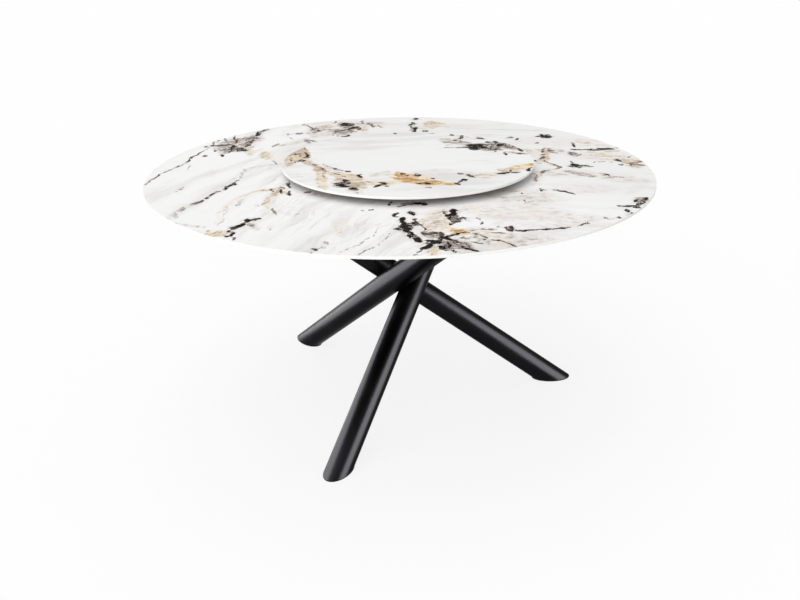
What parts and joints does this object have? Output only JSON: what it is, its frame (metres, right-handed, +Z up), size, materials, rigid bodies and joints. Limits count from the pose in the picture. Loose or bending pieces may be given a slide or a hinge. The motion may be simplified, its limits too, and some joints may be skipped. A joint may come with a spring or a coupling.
{
  "type": "dining table with lazy susan",
  "caption": "Round stone-topped dining table on three crossing black steel tubes, with a round stone lazy susan that turns on a ball bearing ring.",
  "frame": {"origin": "on the floor, on the round table top's vertical axis", "axes": "+Z up, +X to the right and +Y to the back, seen from the front; the front leg's foot is on the -Y side"},
  "size_m": [1.4998, 1.4998, 0.775],
  "materials": {
    "top_stone": "polished sintered stone, white with grey, black and gold veining",
    "susan_stone": "polished sintered stone, white with a gold band and black flecks",
    "bonding_silicone": "cured adhesive",
    "board_paint": "matt black painted fibreboard",
    "insert_zinc": "turned brass",
    "zinc_steel": "zinc plated",
    "black_steel": "black oxide",
    "leg_coating": "satin black powder coat on steel",
    "cap_plastic": "moulded black plastic",
    "clear_silicone": "translucent silicone",
    "foot_rubber": "matt black rubber",
    "ring_aluminium": "turned and anodised",
    "ball_steel": "polished bearing steel",
    "cage_nylon": "natural nylon"
  },
  "bodies": {
    "table": {"bearing_fixed_ring": "ring_aluminium", "bearing_rubber_feet": "foot_rubber", "bonding_layer": "bonding_silicone", "crossing_welds": "leg_coating", "front_foot_cap": "cap_plastic", "front_leg_plate": "leg_coating", "front_leg_tube": "leg_coating", "left_foot_cap": "cap_plastic", "left_leg_plate": "leg_coating", "left_leg_tube": "leg_coating", "mounting_board": "board_paint", "plate_screws": "black_steel", "plate_washers": "zinc_steel", "plate_welds": "leg_coating", "right_foot_cap": "cap_plastic", "right_leg_plate": "leg_coating", "right_leg_tube": "leg_coating", "table_top": "top_stone", "threaded_inserts": "insert_zinc"},
    "lazy_susan": {"lazy_susan_disc": "susan_stone", "disc_support_pads": "clear_silicone", "bearing_turning_ring": "ring_aluminium"},
    "ball_train": {"ball_cage": "cage_nylon", "bearing_balls": "ball_steel"}
  },
  "joints": [
    {"name": "lazy_susan_spin", "type": "hinge", "parent": "table", "child": "lazy_susan", "pos_m": [0.0285, -0.002, 0.754], "axis": [0, 0, 1], "continuous": true},
    {"name": "ball_train_spin", "type": "hinge", "parent": "table", "child": "ball_train", "pos_m": [0.0285, -0.002, 0.754], "axis": [0, 0, 1], "continuous": true}
  ],
  "couplings": [
    {"joint": "ball_train_spin", "follows": "lazy_susan_spin", "ratio": 0.508}
  ]
}
